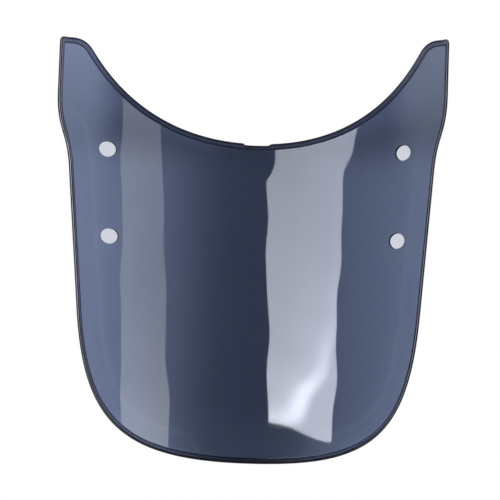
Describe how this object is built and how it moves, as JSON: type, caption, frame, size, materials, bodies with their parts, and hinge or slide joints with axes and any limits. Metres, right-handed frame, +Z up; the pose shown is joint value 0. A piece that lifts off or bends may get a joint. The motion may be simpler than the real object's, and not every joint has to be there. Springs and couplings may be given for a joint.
{
  "type": "motorcycle windshield screen",
  "caption": "Tinted transparent motorcycle windshield screen: one bowed moulded sheet with a concave headlight cut-out between two ears, an edge flange and slotted screw holes.",
  "frame": {"origin": "middle of the foot of the bounding box: on the mirror plane, level with the lowest point of the rounded edge", "axes": "+Z up from the rounded edge towards the concave cut-out and the ears, +X across the screen, -Y out of the hollow (rider's) side, so the full (outer) side faces +Y. Fitted to a motorcycle the part is turned over, with the cut-out downwards round the headlight."},
  "size_m": [0.3902, 0.0816, 0.4214],
  "materials": {
    "smoked_polycarbonate": "gloss, smoke grey-blue, transparent"
  },
  "bodies": {
    "root": {"windshield_screen": "smoked_polycarbonate"}
  },
  "joints": []
}
